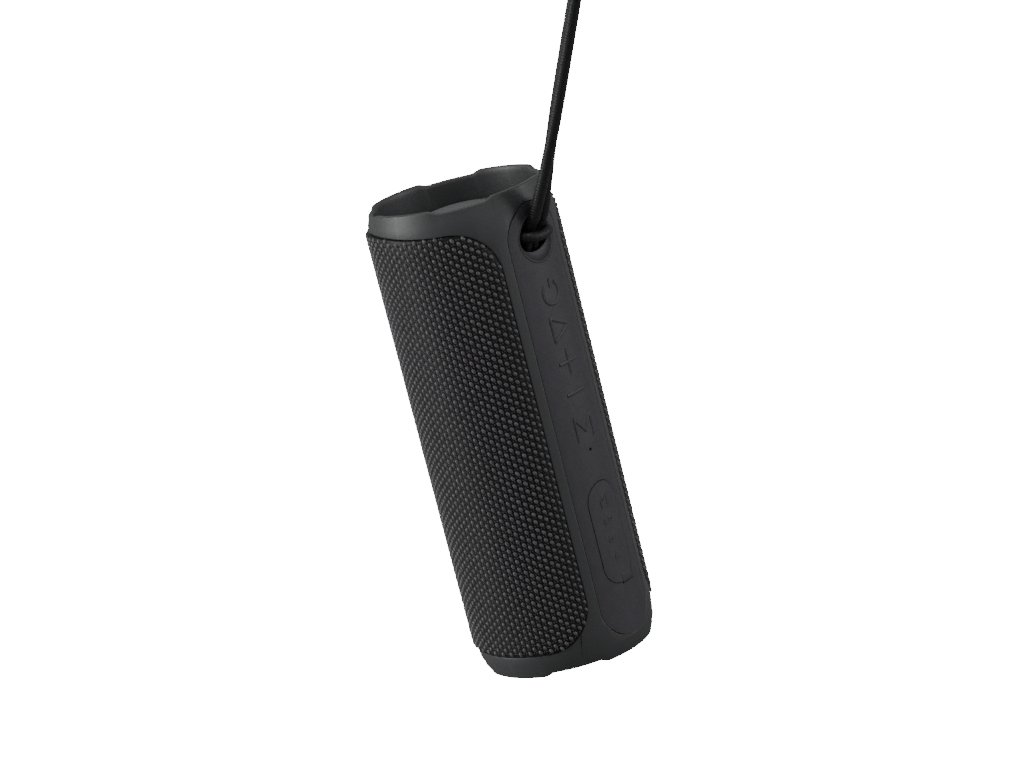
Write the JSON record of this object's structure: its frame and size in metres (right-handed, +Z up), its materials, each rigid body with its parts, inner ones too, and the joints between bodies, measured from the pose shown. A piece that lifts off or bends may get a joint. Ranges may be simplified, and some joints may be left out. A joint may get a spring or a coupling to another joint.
{
  "type": "portable shower speaker",
  "caption": "Cylindrical fabric-covered portable speaker with end rings, a control spine of keys and a port flap, passive radiators at both ends and a braided lanyard.",
  "frame": {"origin": "centre of the lower ring's standing plane, on the speaker's long axis", "axes": "+Z up the long axis towards the eyelet end; -Y out of the control spine; +Y out of the driver"},
  "size_m": [0.0718, 0.1419, 0.2922],
  "materials": {
    "soft_touch": "soft-touch matt",
    "panel_rubber": "matt rubber",
    "inner_plastic": "moulded, satin",
    "rubber": "matt",
    "coated_weight": "matt coating",
    "steel": "plain",
    "nickel": "nickel plated",
    "circuit_board": "solder mask",
    "grille_fabric": "coarse knit",
    "braided_cord": "braided",
    "cell_wrap": "shrink wrap"
  },
  "bodies": {
    "body": {"spine_frame": "soft_touch", "rear_ring_top": "soft_touch", "rear_ring_bottom": "soft_touch", "grille_shell": "inner_plastic", "grille_fabric": "grille_fabric", "inner_housing": "inner_plastic", "radiator_basket_top": "inner_plastic", "radiator_basket_bottom": "inner_plastic", "radiator_surround_top": "rubber", "radiator_surround_bottom": "rubber", "driver_basket": "steel", "driver_magnet": "steel", "driver_surround": "rubber", "driver_screw_1": "steel", "driver_screw_2": "steel", "driver_screw_3": "steel", "driver_screw_4": "steel", "control_panel": "panel_rubber", "port_tray": "inner_plastic", "card_slot": "inner_plastic", "usb_a_socket": "nickel", "audio_jack": "inner_plastic", "usb_c_socket": "nickel", "port_board": "circuit_board", "key_board": "circuit_board", "switch_power": "steel", "switch_play": "steel", "switch_plus": "steel", "switch_minus": "steel", "switch_mode": "steel", "microphone": "steel", "main_board": "circuit_board", "amplifier_chip": "inner_plastic", "board_screw_1": "steel", "board_screw_2": "steel", "battery_cell_left": "cell_wrap", "battery_cell_right": "cell_wrap", "battery_cradle": "inner_plastic", "eyelet_cup": "panel_rubber", "lanyard_pin": "steel", "lanyard": "braided_cord", "lanyard_bight": "braided_cord"},
    "driver_cone": {"driver_cone": "rubber"},
    "key_minus": {"key_minus": "panel_rubber"},
    "key_mode": {"key_mode": "panel_rubber"},
    "key_play": {"key_play": "panel_rubber"},
    "key_plus": {"key_plus": "panel_rubber"},
    "key_power": {"key_power": "panel_rubber"},
    "port_flap": {"port_flap": "panel_rubber"},
    "radiator_plate_bottom": {"radiator_plate_bottom": "coated_weight"},
    "radiator_plate_top": {"radiator_plate_top": "coated_weight"}
  },
  "joints": [
    {"name": "power_press", "type": "slide", "parent": "body", "child": "key_power", "axis": [0, 1, 0], "range_m": [0, 0.0004], "stiffness_N_per_m": 1500},
    {"name": "play_press", "type": "slide", "parent": "body", "child": "key_play", "axis": [0, 1, 0], "range_m": [0, 0.0004], "stiffness_N_per_m": 1500},
    {"name": "plus_press", "type": "slide", "parent": "body", "child": "key_plus", "axis": [0, 1, 0], "range_m": [0, 0.0004], "stiffness_N_per_m": 1500},
    {"name": "minus_press", "type": "slide", "parent": "body", "child": "key_minus", "axis": [0, 1, 0], "range_m": [0, 0.0004], "stiffness_N_per_m": 1500},
    {"name": "mode_press", "type": "slide", "parent": "body", "child": "key_mode", "axis": [0, 1, 0], "range_m": [0, 0.0004], "stiffness_N_per_m": 1500},
    {"name": "flap_hinge", "type": "hinge", "parent": "body", "child": "port_flap", "pos_m": [0, -0.0352, 0.0677], "axis": [-1, 0, 0], "range_deg": [0, 110]},
    {"name": "cone_stroke", "type": "slide", "parent": "body", "child": "driver_cone", "axis": [0, 1, 0], "range_m": [-0.002, 0.002], "stiffness_N_per_m": 1200},
    {"name": "radiator_stroke_top", "type": "slide", "parent": "body", "child": "radiator_plate_top", "axis": [0, 0, 1], "range_m": [-0.0015, 0.0015], "stiffness_N_per_m": 2500},
    {"name": "radiator_stroke_bottom", "type": "slide", "parent": "body", "child": "radiator_plate_bottom", "axis": [0, 0, 1], "range_m": [-0.0015, 0.0015], "stiffness_N_per_m": 2500}
  ]
}
